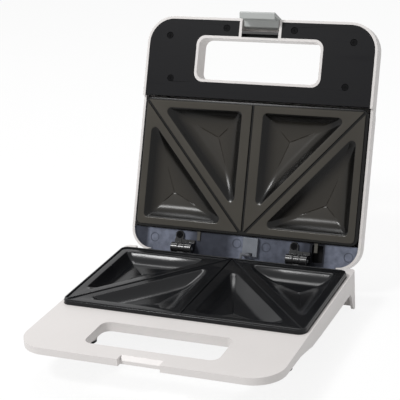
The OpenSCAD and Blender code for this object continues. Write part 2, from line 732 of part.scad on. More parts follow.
module hinge_leaves() color("#1e1e20") on_lid() both_hinges() difference() {
    side_w = (hinge_w - mid_knuckle_w) / 2 - knuckle_gap;
    union() {
        for (side = [-1, 1]) translate([side * (hinge_w / 2 - side_w / 2), 0, 0]) across(side_w) union() {
            translate([hinge_y, hinge_z]) circle(barrel_r);
            polygon([[hinge_y - barrel_r, hinge_z], [hinge_y + barrel_r * 0.78, hinge_z + barrel_r * 0.55],
                [hinge_y + 1.6, liner_z], [hinge_y - barrel_r, liner_z]]);
        }
        translate([-hinge_w / 2, hinge_y - barrel_r - 3, liner_z - leaf_t])
            cube([hinge_w, barrel_r + 3, leaf_t]);
        translate([leaf_screw_dx, 0, liner_z - leaf_t]) linear_extrude(leaf_t) union() {
            translate([0, leaf_screw_y]) circle(4.2);
            translate([-4.2, leaf_screw_y]) square([8.4, 8]);
        }
    }
    translate([0, hinge_y, hinge_z]) along_x(hinge_w + 2, pin_r + pin_clear);
    // The middle knuckle turns here
    translate([0, hinge_y, hinge_z]) along_x(mid_knuckle_w + 2 * knuckle_gap, barrel_r + 0.3);
    translate([leaf_screw_dx, leaf_screw_y, 0]) {
        cylinder(h = 10, r = screw_r + pin_clear);
        cylinder(h = liner_z - leaf_t + 1, r = head_r + 0.3);
    }
}

module hinge_leaf_screws() color("#3a3a3c") on_lid() for (p = leaf_screw_at())
    translate([p.x, p.y, liner_z - leaf_t + 1]) screw(leaf_screw_l);

// Lid
module lid_outline(inset) {
    outline(shell_w - 2 * inset, lid_front_y + inset, lid_rear - inset, handle_r - inset, lid_rear_r - inset);
}

// Ring of points along an outline, at height z
function outline_ring(width, front, rear, front_r, rear_r, z) =
    [for (corner = [[1, rear - rear_r, rear_r, 0], [-1, rear - rear_r, rear_r, 90],
        [-1, front + front_r, front_r, 180], [1, front + front_r, front_r, 270]], i = [0:9])
        let (r = corner[2], a = corner[3] + 10 * i)
        [corner[0] * (width / 2 - r) + r * cos(a), corner[1] + r * sin(a), z]];

// Handle slab with a rounded outer edge, and dome over the plate, each grown inwards by inset
module handle_slab(inset) {
    r = lid_edge_r - inset / 2;
    rows = concat([[inset, -1]], [for (a = [0:18:90])
        [inset + r * (1 - cos(a)), lid_handle_t - inset - r * (1 - sin(a))]]);
    skin([for (row = rows) outline_ring(shell_w - 2 * row[0], lid_front_y + row[0], lid_rear - row[0],
        handle_r - row[0], lid_rear_r - row[0], row[1])]);
}

module dome(inset) {
    rise = dome_h - dome_side - inset;
    front = -plate_d - grip_gap + 7.5;
    rows = concat([[inset, -1]], [for (a = [0:15:90])
        [inset + (dome_border - inset) * (1 - cos(a)), dome_side + rise * sin(a)]]);
    skin([for (row = rows) let (r = max(lid_rear_r - row[0], 3))
        outline_ring(shell_w - 2 * row[0], front + row[0], lid_rear - row[0], r, r, row[1])]);
}

module lid_posts() {
    for (p = panel_screw_at) translate([p.x, p.y, panel_z + panel_t])
        cylinder(h = lid_handle_t - panel_z - panel_t - wall / 2, r = panel_boss_r);
    for (p = leaf_screw_at()) translate([p.x, p.y, liner_z + liner_t])
        cylinder(h = dome_h, r = panel_boss_r);
    for (p = boss_at) translate([p.x, p.y, close_gap + stack_end + head_t + 0.2])
        cylinder(h = dome_h - close_gap - stack_end - head_t - wall / 2 - 0.2, r = boss_r);
}

module lid_shell() color(white) on_lid() {
    bay_x = notch_half_w + 0.2;
    difference() {
        union() {
            difference() {
                union() {
                    handle_slab(0);
                    dome(0);
                }
                difference() {
                    union() {
                        handle_slab(wall);
                        dome(wall);
                    }
                    // Rim of the hand opening and walls of the latch bay
                    linear_extrude(lid_handle_t) lid_grip(0);
                    translate([-bay_x - bay_wall, lid_front_y, 0])
                        cube([2 * (bay_x + bay_wall), bay_rear_y + bay_wall - lid_front_y + 3,
                            lid_handle_t - wall / 2]);
                }
            }
            intersection() {
                lid_posts();
                dome(wall / 2);
            }
            intersection() {
                lid_posts();
                handle_slab(wall / 2);
            }
        }
        // Hand opening
        linear_extrude(4 * lid_handle_t, center = true) lid_grip(rim);
        // Front bay, open towards the front edge, and the dark slot behind it
        translate([-bay_x, lid_front_y - 5, -1])
            cube([2 * bay_x, bay_front_y - lid_front_y + 5, lid_handle_t - wall + 0.6]);
        translate([-bay_x + 0.6, bay_slot_y, -1]) cube([2 * bay_x - 1.2, 3.1, 12]);
        // Side walls end below the plate, and the parting edge of the handle is level with the panel
        translate([-shell_w, -plate_d - seam_gap, -2]) cube([2 * shell_w, 2 * shell_w, 2 + edge_z]);
        translate([-shell_w, lid_front_y - 1, -2]) cube([2 * shell_w, 2 * shell_w, 2 + panel_z]);
        // The liner covers the rear rim between its rounded corners
        translate([-liner_half_w, lid_rear - wall - 0.3, 0])
            cube([2 * liner_half_w, 2 * wall, liner_z + liner_t + 0.1]);
        // Bores
        for (p = panel_screw_at) translate([p.x, p.y, 0]) cylinder(h = 11, r = screw_r + pin_clear);
        for (p = leaf_screw_at()) translate([p.x, p.y, 0]) cylinder(h = 12, r = screw_r + pin_clear);
        translate([0, latch_y, latch_pin_z]) along_x(2 * (bay_x + bay_wall) + 6, latch_pin_r + 0.02);
        for (y = lamp_y) translate([lamp_x, y, lid_handle_t - 6]) cylinder(h = 20, r = lamp_r + 0.1);
    }
}

module lid_panel() color(panel_black) on_lid() translate([0, 0, panel_z]) difference() {
    linear_extrude(panel_t) difference() {
        intersection() {
            lid_outline(wall + 0.15);
            translate([-shell_w, lid_front_y]) square([2 * shell_w, lid_reach - panel_gap]);
        }
        lid_grip(-0.15);
        translate([-notch_half_w - 0.2 - bay_wall - 0.15, lid_front_y - 1])
            square([2 * (notch_half_w + 0.35 + bay_wall), bay_slot_y - lid_front_y + 5]);
    }
    for (p = panel_screw_at) translate([p.x, p.y, -1]) {
        cylinder(h = 10, r = screw_r + 0.2);
        cylinder(h = 1 + 1.2, r = head_r + 0.3);
    }
}

module lid_panel_screws() color("#303032") on_lid() for (p = panel_screw_at)
    translate([p.x, p.y, panel_z + 1.2]) panel_screw();

// Low screw that sits below the face of the panel
module panel_screw() {
    difference() {
        translate([0, 0, -0.9]) cylinder(h = 0.9, r = head_r);
        for (turn = [0, 90]) rotate([0, 0, turn]) translate([-1.6, -0.4, -2]) cube([3.2, 0.8, 1.7]);
    }
    cylinder(h = 8.5, r = screw_r);
}

module lid_plate_screws() color(steel) on_lid() for (p = boss_at)
    translate([p.x, p.y, close_gap + stack_end]) mirror([0, 0, 1]) screw(8);

// Outline of the liner, which runs out over the rear rim between the shell's rounded corners
module liner_outline(inset) intersection() {
    union() {
        lid_outline(wall + 0.15 + inset);
        translate([-liner_half_w + 0.2 + inset, 0])
            square([2 * (liner_half_w - 0.2 - inset), lid_rear - 0.3 - inset]);
    }
    translate([-shell_w, seat_clear + 0.2]) square([2 * shell_w, lid_rear]);
}

// Grey liner behind the lid plate, round the hinges
module lid_liner() color(liner_grey) on_lid() difference() {
    union() {
        translate([0, 0, liner_z]) linear_extrude(liner_t) liner_outline(0);
        // Raised wall along the sides and the rear
        translate([0, 0, edge_z + 0.1]) linear_extrude(liner_z - edge_z) difference() {
            liner_outline(0);
            liner_outline(1.25);
        }
    }
    for (p = leaf_screw_at()) translate([p.x, p.y, 0]) cylinder(h = 12, r = screw_r + pin_clear);
    for (p = mark_at) translate([p.x, p.y, 0]) cylinder(h = liner_z + mark_depth, r = mark_r);
    // Pocket beside the right hinge and the passage of the wires
    translate([hinge_x + hinge_w / 2 + 0.8, 2.2, 0]) cube([11, 16.5, 20]);
    translate([guide_x - 3, 2.2, 0]) cube([6, 6, 20]);
}

module wire_guide() color("#7d828c") on_lid() translate([guide_x, 0, 0]) difference() {
    low = liner_z - 4;
    translate([-guide_w / 2, 1.4, low]) cube([guide_w, lid_rear - wall - 3.2, liner_z - low]);
    translate([-3, 0.5, low + 0.9]) cube([6, lid_rear, liner_z]);
    translate([-3, lid_rear - wall - 5, low - 1]) cube([6, 3.2, 4]);
}

module plate_brackets() color("#2a2a2c") on_lid() for (x = [-hinge_x + 13.6, hinge_x + 15.4])
    translate([x - bracket_w / 2, seat_clear, liner_z - 0.1]) {
        translate([0, 0, -1.4]) cube([bracket_w, bracket_t, 1.4]);
        translate([0, 0, -bracket_t]) cube([bracket_w, 9, bracket_t]);
    }

module lid_wiring() color("#d8d4c8") on_lid() {
    run_z = liner_z - wire_r - 0.2;
    wire([[guide_x - 2.4, hinge_y, hinge_z], [guide_x, hinge_y, hinge_z], [guide_x, hinge_y + 0.1, run_z],
        [guide_x, 5, run_z], [guide_x, 5, close_gap + stack_end + 3]], [1, 1, 0]);
}

// Lamps in the handle
module lens() {
    cylinder(h = 0.9, r = lamp_r + 0.9);
    translate([0, 0, -wall - 1]) cylinder(h = wall + 1, r = lamp_r);
}

module power_lens() color("#c8281e") on_lid() translate([lamp_x, lamp_y[0], lid_handle_t]) lens();

module ready_lens() color("#2e9a48") on_lid() translate([lamp_x, lamp_y[1], lid_handle_t]) lens();

module neon_lamps() color("#e8c9a8") on_lid() for (y = lamp_y)
    translate([lamp_x, y, lid_handle_t - wall - 1 - 9.2]) cylinder(h = 9, r = 2.6);

module latch_pin() color(steel) on_lid() translate([0, latch_y, latch_pin_z])
    along_x(2 * (notch_half_w + 0.2 + bay_wall), latch_pin_r);

// Hook that swings on its pin, drawn latched with the pin at the origin
module latch() color(latch_grey) on_latch() {
    outer = -(latch_y - front_y) + 0.4;
    inner = outer + latch_t;
    low = under_front - 0.55 - latch_pin_z;
    end = low - hook_t;
    difference() {
        across(2 * latch_half_w) polygon([[outer + 1.6, 3.4], [0.6, 3.4], [2.4, 2.4], [3.3, 0.8], [2.8, -5.4],
            [inner, -8.6], [inner, low], [inner + lip, low], [inner + lip, low - 1], [outer + 1.2, end],
            [outer, end + 1.2], [outer, 1.4]]);
        along_x(2 * latch_half_w + 2, latch_pin_r + pin_clear);
    }
}

base_casing();
base_cover();
base_cover_screws();
front_foot_pads();
base_plate();
base_plate_screws();
base_heater();
base_heater_clamp();
base_reflector();
thermostat();
thermal_fuse();
terminal_block();
cord_gland();
mains_leads();
base_wiring();
hinge_arms();
hinge_arm_screws();
hinge_pins();
lid_shell();
lid_panel();
lid_panel_screws();
lid_plate();
lid_plate_screws();
lid_heater();
lid_heater_clamp();
lid_reflector();
lid_liner();
wire_guide();
plate_brackets();
hinge_leaves();
hinge_leaf_screws();
lid_wiring();
power_lens();
ready_lens();
neon_lamps();
latch_pin();
latch();
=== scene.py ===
# %% [markdown]
# # A sandwich toaster with its lid open
# The toaster is a white moulded clam with two cast plates inside, which press two sandwiches into
# sealed triangles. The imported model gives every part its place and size. Here the parts get their
# looks, both plates get finer skins and the mouldings get softer edges.

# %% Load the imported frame
import json
import math

import bmesh
import bpy
import numpy as np
from mathutils import Matrix, Vector
from mathutils.geometry import tessellate_polygon


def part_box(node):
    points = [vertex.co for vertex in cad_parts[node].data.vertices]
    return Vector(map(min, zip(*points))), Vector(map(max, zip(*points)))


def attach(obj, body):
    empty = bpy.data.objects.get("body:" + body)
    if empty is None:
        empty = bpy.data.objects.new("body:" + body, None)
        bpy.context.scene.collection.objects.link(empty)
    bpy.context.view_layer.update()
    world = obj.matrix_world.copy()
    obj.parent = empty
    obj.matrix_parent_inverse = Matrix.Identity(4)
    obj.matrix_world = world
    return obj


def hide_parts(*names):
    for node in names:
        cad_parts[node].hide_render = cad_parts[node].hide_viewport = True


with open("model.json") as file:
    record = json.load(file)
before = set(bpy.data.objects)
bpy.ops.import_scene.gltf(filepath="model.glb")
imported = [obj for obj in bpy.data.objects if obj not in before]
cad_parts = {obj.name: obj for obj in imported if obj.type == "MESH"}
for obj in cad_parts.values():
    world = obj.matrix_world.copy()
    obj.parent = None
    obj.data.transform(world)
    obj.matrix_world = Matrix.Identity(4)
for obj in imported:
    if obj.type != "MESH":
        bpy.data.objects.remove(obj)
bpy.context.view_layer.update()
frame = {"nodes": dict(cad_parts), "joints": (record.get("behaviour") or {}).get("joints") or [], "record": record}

# %% [markdown]
# ## Sizes
# A skin has to lie exactly on its solid part. So the place and size of the plates and of the hinge
# are read from the frame, and only what the frame doesn't say is written here, in millimetres.

# %% Sizes in millimetres
# Wall of the plates, height of their skirt, radius of their corners and gap between the closed plates
PLATE_T, SKIRT, PLATE_R, CLOSE_GAP = 2.4, 9.0, 7.0, 0.5
# Depth of a pocket and radius of its corners
POCKET_DEPTH, POCKET_R = 10.6, 4.2
# Land between a pocket and the plate's edge, the middle seam and a slanting seam
LAND_EDGE, LAND_MID, LAND_SEAM = 9.4, 10.8, 8.4
# Bead near the edge of the base plate, and the ridges along its seams
BEAD_IN, BEAD_W, RIDGE_W, RIDGE_H = 0.6, 1.5, 1.4, 1.0
# Room around a ridge in its groove of the lid plate
GROOVE_CLEAR = 0.4


def thousandths(metres):
    """Millimetres of metres, rounded to thousandths."""
    return np.round(1000 * np.array(metres), 3)


plate_low, plate_high = (thousandths(corner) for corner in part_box("base_plate"))
PLATE_W, PLATE_D = plate_high[:2] - plate_low[:2]
MID_Y, STAND = -plate_high[1], plate_high[2] - RIDGE_H
HALF = PLATE_W / 2
lid_joint = next(joint for joint in frame["joints"] if joint["name"] == "lid_hinge")
HINGE_Y, HINGE_Z = (thousandths(lid_joint["pos_m"]) + (0, MID_Y, -STAND))[1:]
OPEN_ANGLE = math.radians(lid_joint["range_deg"][1])
print("plate:", PLATE_W, "x", PLATE_D, "hinge:", HINGE_Y, HINGE_Z, "open:", math.degrees(OPEN_ANGLE))

# %% [markdown]
# ## Placing
# Both halves are described closed, with the cooking planes at height zero and the hinge at the back,
# because the two plates mirror each other there. The base only moves up onto its feet. The lid first
# turns open about the hinge. Turning the object instead would be shorter, but then its place would
# not be in its mesh, and a pattern on it would turn too.

# %% Placing
def on_base(points):
    """World metres of plate millimetres: shift back by the middle and up by the stand height."""
    return (np.asarray(points, float) - (0, MID_Y, -STAND)) / 1000


def on_lid(points):
    """World metres of closed-lid millimetres: turn by the open angle about the hinge axis, then place."""
    p = np.asarray(points, float) - (0, HINGE_Y, HINGE_Z)
    c, s = math.cos(OPEN_ANGLE), math.sin(OPEN_ANGLE)
    turned = np.stack([p[:, 0], p[:, 1] * c + p[:, 2] * s, -p[:, 1] * s + p[:, 2] * c], 1)
    return on_base(turned + (0, HINGE_Y, HINGE_Z))


print("hinge axis in metres:", on_base([(0, HINGE_Y, HINGE_Z)])[0].round(6))

# %% [markdown]
# ## Meshes from rings
# A skin is a stack of rings with equal counts of points. Neighbouring rings are joined by four-sided
# faces, and a ring can end in a point. Flat parts with holes are filled by triangles. A plate could
# also be cut by boolean modifiers, but rings put each edge loop where the light needs it.

# %% Mesh helpers
# Largest distance in metres of points that become one, and angle in degrees at which an edge is sharp
WELD, SHARP_ANGLE = 2e-6, 35


def ring_faces(rows, count):
    """Faces between stacked rings: point i of one ring joins points i and i + 1 of the next."""
    i = np.arange(count)
    j = (i + 1) % count
    base = np.arange(rows - 1)[:, None] * count
    return np.stack([base + i, base + j, base + count + j, base + count + i], -1).reshape(-1, 4)


class Skin:
    """Collects rings and flat fills of one mesh, sharing no points between its pieces."""

    def __init__(self):
        self.points, self.faces, self.count = [], [], 0

    def add(self, points, *faces):
        """Adds points and arrays of faces, whose numbers count on from the points that are there."""
        self.points.append(np.asarray(points, float).reshape(-1, 3))
        for part in faces:
            self.faces += (np.asarray(part) + self.count).tolist()
        self.count += len(self.points[-1])

    def rings(self, rings, tip=None, flip=False, closed=False):
        """Adds stacked rings. A tip closes the last ring with a fan, closed joins the last to the first."""
        rings = np.asarray(rings, float)
        rows, n = rings.shape[:2]
        if closed:
            rings = np.concatenate([rings, rings[:1]])
            rows += 1
        faces = [ring_faces(rows, n)]
        points = rings.reshape(-1, 3)
        if tip is not None:
            points = np.concatenate([points, [tip]])
            last = (rows - 1) * n + np.arange(n)
            faces.append(np.column_stack([last, np.roll(last, -1), np.full(n, rows * n)]))
        self.add(points, *(part[:, ::-1] if flip else part for part in faces))

    def fill(self, outer, holes, flip=False):
        """Adds a flat fill between an outer loop and hole loops, facing up unless flipped."""
        loops = [np.asarray(loop, float) for loop in [outer, *holes]]
        points = np.concatenate(loops)
        triangles = np.array(tessellate_polygon([list(map(Vector, loop)) for loop in loops]))
        a, b, c = points[triangles.T]
        up = np.cross(b - a, c - a)[:, 2] > 0
        self.add(points, np.where((up != flip)[:, None], triangles, triangles[:, ::-1]))

    def build(self, name, place):
        """Welds the pieces, turns the faces outwards and returns the object at its place."""
        mesh = bpy.data.meshes.new(name)
        mesh.from_pydata(place(np.concatenate(self.points)).tolist(), [], self.faces)
        return finish_mesh(name, mesh, SHARP_ANGLE)


def finish_mesh(name, mesh, sharp_angle):
    """Object of a mesh whose doubled points are welded and whose flat and round faces shade apart."""
    bm = bmesh.new()
    bm.from_mesh(mesh)
    bmesh.ops.remove_doubles(bm, verts=bm.verts, dist=WELD)
    bmesh.ops.dissolve_degenerate(bm, edges=bm.edges, dist=WELD)
    bmesh.ops.recalc_face_normals(bm, faces=bm.faces)
    bm.to_mesh(mesh)
    bm.free()
    mesh.polygons.foreach_set("use_smooth", np.ones(len(mesh.polygons), bool))
    mesh.set_sharp_from_angle(angle=math.radians(sharp_angle))
    obj = bpy.data.objects.new(name, mesh)
    bpy.context.scene.collection.objects.link(obj)
    return obj


# %% [markdown]
# ## Rounded loops
# Both the plates' edges and the pockets' rims are polygons with rounded corners. One function makes
# each loop with the same number of points however far it is moved in, so that loops can be joined.
# A bevel rounds corners too, but it may make another number of points where a loop gets small.

# %% Rounded loops
def rounded(corners, radii, steps=10, z=0.0):
    """Loop around corners, each replaced by an arc that touches both of its sides.

    The arc's centre lies on the corner's middle line, at its radius divided by the sine of half the
    corner's angle, and the arc turns by half a circle less that angle.
    """
    corners = np.asarray(corners, float)
    out = []
    for k, at in enumerate(corners):
        back = corners[k - 1] - at
        ahead = corners[(k + 1) % len(corners)] - at
        back, ahead = back / np.linalg.norm(back), ahead / np.linalg.norm(ahead)
        half = math.acos(np.clip(back @ ahead, -1, 1)) / 2
        middle = back + ahead
        centre = at + middle / np.linalg.norm(middle) * radii[k] / math.sin(half)
        turn = 1 if back[0] * ahead[1] - back[1] * ahead[0] > 0 else -1
        angle = math.atan2(-turn * back[0], turn * back[1]) + np.linspace(0, math.pi - 2 * half, steps + 1)
        out.append(centre + radii[k] * np.stack([np.cos(angle), np.sin(angle)], 1))
    loop = np.concatenate(out)
    return np.column_stack([loop, np.full(len(loop), z)])


def rectangle(low, high, inset):
    """Corners of a rectangle between two corners, anticlockwise from the low one, moved in by inset."""
    (x0, y0), (x1, y1) = np.add(low, inset), np.subtract(high, inset)
    return [(x0, y0), (x1, y0), (x1, y1), (x0, y1)]


def plate_loop(inset, z):
    """The plate's edge, moved in, at a height. Its corners keep a radius of at least 1 mm."""
    return rounded(rectangle((-HALF, -PLATE_D), (HALF, 0), inset), [max(PLATE_R - inset, 1.0)] * 4, z=z)


def moved_in(corners, gaps):
    """Corners of a triangle whose sides are moved in by their own gaps: where the moved sides meet."""
    c = np.asarray(corners, float)
    side = np.roll(c, -1, 0) - c
    side /= np.linalg.norm(side, axis=1)[:, None]
    inward = np.stack([-side[:, 1], side[:, 0]], 1)
    start = c + inward * np.asarray(gaps, float)[:, None]
    out = []
    for k in range(3):
        system = np.stack([side[k - 1], -side[k]], 1)
        t = np.linalg.solve(system, start[k] - start[k - 1])
        out.append(start[k - 1] + side[k - 1] * t[0])
    return np.array(out)


def incentre(corners):
    """Middle of a triangle's inscribed circle, weighted by the lengths of the opposite sides."""
    w = np.linalg.norm(np.roll(corners, -1, 0) - np.roll(corners, 1, 0), axis=1)
    return (corners * w[:, None]).sum(0) / w.sum()


print("points in a plate's edge:", len(plate_loop(0, 0)))

# %% [markdown]
# ## Pockets
# Four triangular pockets fill the plate, two for each sandwich. The seams between them are two
# slanting lines and a straight one, which start at the middle of the rear edge. A pocket has a steep
# wall that runs out into nearly flat facets, which meet in fine creases. Carving it with a brush or a
# displacement would leave soft creases, so every ring of it is worked out.

# %% Pockets
# Corners of each pocket's share of the plate, and what its sides lie at: the edge, a slanting seam
# or the middle seam
TRIANGLES = [
    ([(0, 0), (-HALF, 0), (-HALF, -PLATE_D)], "EES"),
    ([(0, 0), (-HALF, -PLATE_D), (0, -PLATE_D)], "SEM"),
    ([(0, 0), (0, -PLATE_D), (HALF, -PLATE_D)], "MES"),
    ([(0, 0), (HALF, -PLATE_D), (HALF, 0)], "SEE"),
]
LAND = {"E": LAND_EDGE, "S": LAND_SEAM, "M": LAND_MID}
# Share of the way in where the wall has run out, its share of the depth, and how fast it runs out
WALL_END, WALL_FALL, WALL_BEND = 0.55, 0.74, 2.2
# Distance from a rim to the pocket's middle, and how far the rounded lip reaches in, in its own radii
POCKET_REACH, LIP_RUN = 26.0, 1.6
# Half width of a crease, share of the rim where it starts, and share over which it deepens
CREASE_HALF, CREASE_START, CREASE_RUN = 0.5, 0.48, 0.14
# Rings of the lip, rings of the wall and floor, and how much closer these stand near the lip
LIP_ROWS, FLOOR_ROWS, ROW_BEND = 7, 31, 1.25


def sink(s):
    """Share of the depth at share s of the way in: a steep wall that runs out into a nearly flat facet.

    The wall falls by one less a power of the way that is left to its end, and the facet falls evenly.
    """
    wall = 1 - (1 - np.minimum(s / WALL_END, 1)) ** WALL_BEND
    return WALL_FALL * wall + (1 - WALL_FALL) * s


def pocket_rings(corners, kinds, grow, depth, top, lip, crease=0.0):
    """Rings of a pocket from the land down, with a rounded lip, and the point in its middle.

    A ring at share k of the rim is a triangle with rounded corners. Measured from a corner's middle line,
    the point at distance o across lies k (R - r) / sin b + sqrt((k r)^2 - o^2) along where it is on the
    arc, and (k R - o cos b) / sin b along where it is on the side. R is the radius of the inscribed
    circle, r the corner's radius and b half its angle. A narrow crease sinks along these lines near the
    middle, to crease at its deepest.
    """
    inner = moved_in(corners, [LAND[k] - grow for k in kinds])
    middle = incentre(inner)
    towards = inner - middle
    side = inner[1] - inner[0]
    inscribed = abs(side[0] * towards[0, 1] - side[1] * towards[0, 0]) / np.linalg.norm(side)
    lip_out = lip / POCKET_REACH
    lip_in = LIP_RUN * lip_out
    t = np.linspace(0, 1, LIP_ROWS)
    rest = lip_in + (1 - lip_in) * np.linspace(0, 1, FLOOR_ROWS + 2)[1:-1] ** ROW_BEND
    share = np.concatenate([t ** 2 * lip_in - (1 - t) ** 2 * lip_out, rest])
    fall = np.concatenate([t ** 2 * sink(lip_in), sink(rest)])[:, None]
    k = (1 - share)[:, None]
    radius = k * (POCKET_R + grow)
    loops = []
    for out in towards:
        distance = np.linalg.norm(out)
        sine = inscribed / distance
        cosine = math.sqrt(1 - sine ** 2)
        limit = k * inscribed * cosine
        # Near the middle the crease and the arc keep to their shares of a side, so they don't cross
        width = np.minimum(CREASE_HALF, 0.4 * limit)
        arc = np.minimum(np.maximum(radius * cosine, 1.3 * width), 0.8 * limit)
        # Across half a corner lie two points of the crease, four of the arc and two of the side
        half = np.concatenate([width * (0.5, 1), width + (arc - width) * (0.25, 0.5, 0.75, 1),
                               arc + (limit - arc) * (0.5, 1)], 1)
        across = np.concatenate([-half[:, -2::-1], 0 * k, half], 1)
        size = abs(across)
        on_arc = k * inscribed / sine - radius / sine + np.sqrt(np.maximum(radius ** 2 - size ** 2, 0))
        on_side = (k * inscribed - size * cosine) / sine
        along = np.where(size <= radius * cosine, on_arc, on_side)
        out = out / distance
        xy = middle + along[..., None] * out + across[..., None] * (-out[1], out[0])
        deepening = np.clip((CREASE_START - k) / CREASE_RUN, 0, 1)
        dip = crease * np.clip(1 - size / width, 0, 1) * deepening
        loops.append(np.concatenate([xy, (top - depth * fall - dip)[..., None]], 2))
    return np.concatenate(loops, 1), (*middle, top - depth - crease)


print("pockets:", len(TRIANGLES), "rings in each:", LIP_ROWS + FLOOR_ROWS)

# %% [markdown]
# ## The cast plates
# Each plate is one casting: a land, the four pockets and a skirt. The base plate carries raised
# ridges along its seams and a bead near its edge. They close into the lid plate's grooves, which cuts
# and seals the bread, so the lid plate's land is a set of raised triangles. One function makes both
# skins, as the real ones are poured from like moulds.

# %% The cast plates
# Points of a rounded edge, as the distances in from its wall and down from its top
PLATE_EDGE = ((0.0, 0.9), (0.12, 0.4), (0.4, 0.12), (0.9, 0.0))
RIDGE_EDGE = ((0.0, 0.4), (0.14, 0.12), (0.42, 0.0))
BEAD_EDGE = ((0.0, 0.4), (0.12, 0.12), (0.38, 0.0))
RAISED_EDGE = ((0.12, 0.3), (0.4, 0.0))
# Radius of a pocket's upper lip and of the lip on its underside, and depth of its creases
LIP, UNDER_LIP, CREASE = 0.9, 0.4, 0.4
# Wall of a pocket, and corner radius of a raised triangle at the plate's corner and at a seam
POCKET_T, LAND_R, LAND_TIP_R = 2.2, 4.5, 0.5
# Distance of the middle ridge from the rear edge, how far it runs into the bead, and distance of the
# slanting ridges from the middle and from the side
MIDDLE_START, MIDDLE_OVERLAP, SLANT_START, SLANT_END = 1.6, 0.4, 1.1, 3.2
# Depth to which a ridge and the bead reach into the land
RIDGE_ROOT, BEAD_ROOT = 0.5, 0.4


def ridge_section(start, end, root, edge):
    """Section as (across, height): from a root in the land up a wall, over two rounded edges and down."""
    rise = [(inset, RIDGE_H - drop) for inset, drop in edge]
    up = [(start, -root), *((start + inset, z) for inset, z in rise)]
    down = [*((end - inset, z) for inset, z in rise[::-1]), (end, -root)]
    return up + down


def ridge(skin, start, end):
    """Adds a ridge between two points of the land: its section carried straight, with flat ends."""
    start, end = np.asarray(start, float), np.asarray(end, float)
    along = (end - start) / np.linalg.norm(end - start)
    across = np.array([-along[1], along[0]])
    section = np.array(ridge_section(-RIDGE_W / 2, RIDGE_W / 2, RIDGE_ROOT, RIDGE_EDGE))
    ends = [np.column_stack([place + section[:, :1] * across, section[:, 1]]) for place in (start, end)]
    loop = np.arange(len(section))
    skin.rings(ends)
    skin.add(ends[0], [loop])
    skin.add(ends[1], [loop[::-1]])


def plate_skin(step, border, seam_half):
    """Skin of a plate whose land stands a step above its border and seams, or is level with them."""
    skin = Skin()
    floor = -step
    under_floor = -PLATE_T - step / 2
    walls = [(PLATE_T, under_floor), (PLATE_T, -SKIRT), (0.0, -SKIRT)]
    edge = [(inset, floor - drop) for inset, drop in PLATE_EDGE]
    skin.rings([plate_loop(inset, z) for inset, z in walls + edge])
    regions, rims = [], []
    for corners, kinds in TRIANGLES:
        rings, tip = pocket_rings(corners, kinds, 0.0, POCKET_DEPTH, 0.0, LIP, CREASE)
        skin.rings(rings, tip)
        region = rings[0]
        if step:
            gaps = np.array([border if kind == "E" else seam_half for kind in kinds])
            radii = np.array([LAND_R if kinds[k - 1] + kinds[k] == "EE" else LAND_TIP_R for k in range(3)])
            raised = [(0.0, floor), *((inset, -drop) for inset, drop in RAISED_EDGE)]
            foot, shoulder, top = (rounded(moved_in(corners, gaps + inset), radii - inset / 2, z=z)
                                   for inset, z in raised)
            skin.rings([foot, shoulder, top])
            skin.fill(top, [region])
            region = foot
        regions.append(region)
        under, low = pocket_rings(corners, kinds, POCKET_T, POCKET_DEPTH + POCKET_T, under_floor, UNDER_LIP)
        skin.rings(under, low, flip=True)
        rims.append(under[0])
    skin.fill(plate_loop(PLATE_EDGE[-1][0], floor), regions)
    skin.fill(plate_loop(PLATE_T, under_floor), rims, flip=True)
    return skin


def base_plate_skin():
    """Skin of the base plate: level land with a bead near the edge and three ridges along the seams."""
    skin = plate_skin(0.0, 0.0, 0.0)
    bead_end = BEAD_IN + BEAD_W
    bead = ridge_section(BEAD_IN, bead_end, BEAD_ROOT, BEAD_EDGE)
    skin.rings([plate_loop(inset, z) for inset, z in bead], closed=True)
    ridge(skin, (0, -MIDDLE_START), (0, -PLATE_D + bead_end - MIDDLE_OVERLAP))
    for side in (-1, 1):
        start, end = SLANT_START, HALF - SLANT_END
        ridge(skin, (side * start, -start * PLATE_D / HALF), (side * end, -end * PLATE_D / HALF))
    return skin.build("base_plate_skin", on_base)


def lid_plate_skin():
    """Skin of the lid plate: seen from above, then turned over onto the closed lid and opened with it."""
    skin = plate_skin(RIDGE_H + CLOSE_GAP, BEAD_IN + BEAD_W + GROOVE_CLEAR, RIDGE_W / 2 + GROOVE_CLEAR)
    return skin.build("lid_plate_skin", lambda points: on_lid(points * (1, 1, -1) + (0, 0, CLOSE_GAP)))


base_plate, lid_plate = base_plate_skin(), lid_plate_skin()
print("plate faces:", len(base_plate.data.polygons), len(lid_plate.data.polygons))

# %% [markdown]
# ## Softened mouldings
# Moulded parts have small round edges that catch the light. A Bevel node in the material would only
# fake them, and the exported model would lose them. So a copy of the solid part gets real ones: its
# doubled points are welded, its flat faces are joined up, and its sharp edges are bevelled. A joined
# face round a hole can fill in wrongly, so faces with more than four corners are cut into triangles
# before the bevel.

# %% Softened mouldings
# Weld distance in metres for a solid part, and the angles in degrees under which faces count as one
# flat face and over which an edge is rounded
SOLID_WELD, FLAT_ANGLE, ROUNDED_ANGLE = 5e-6, 1.0, 38


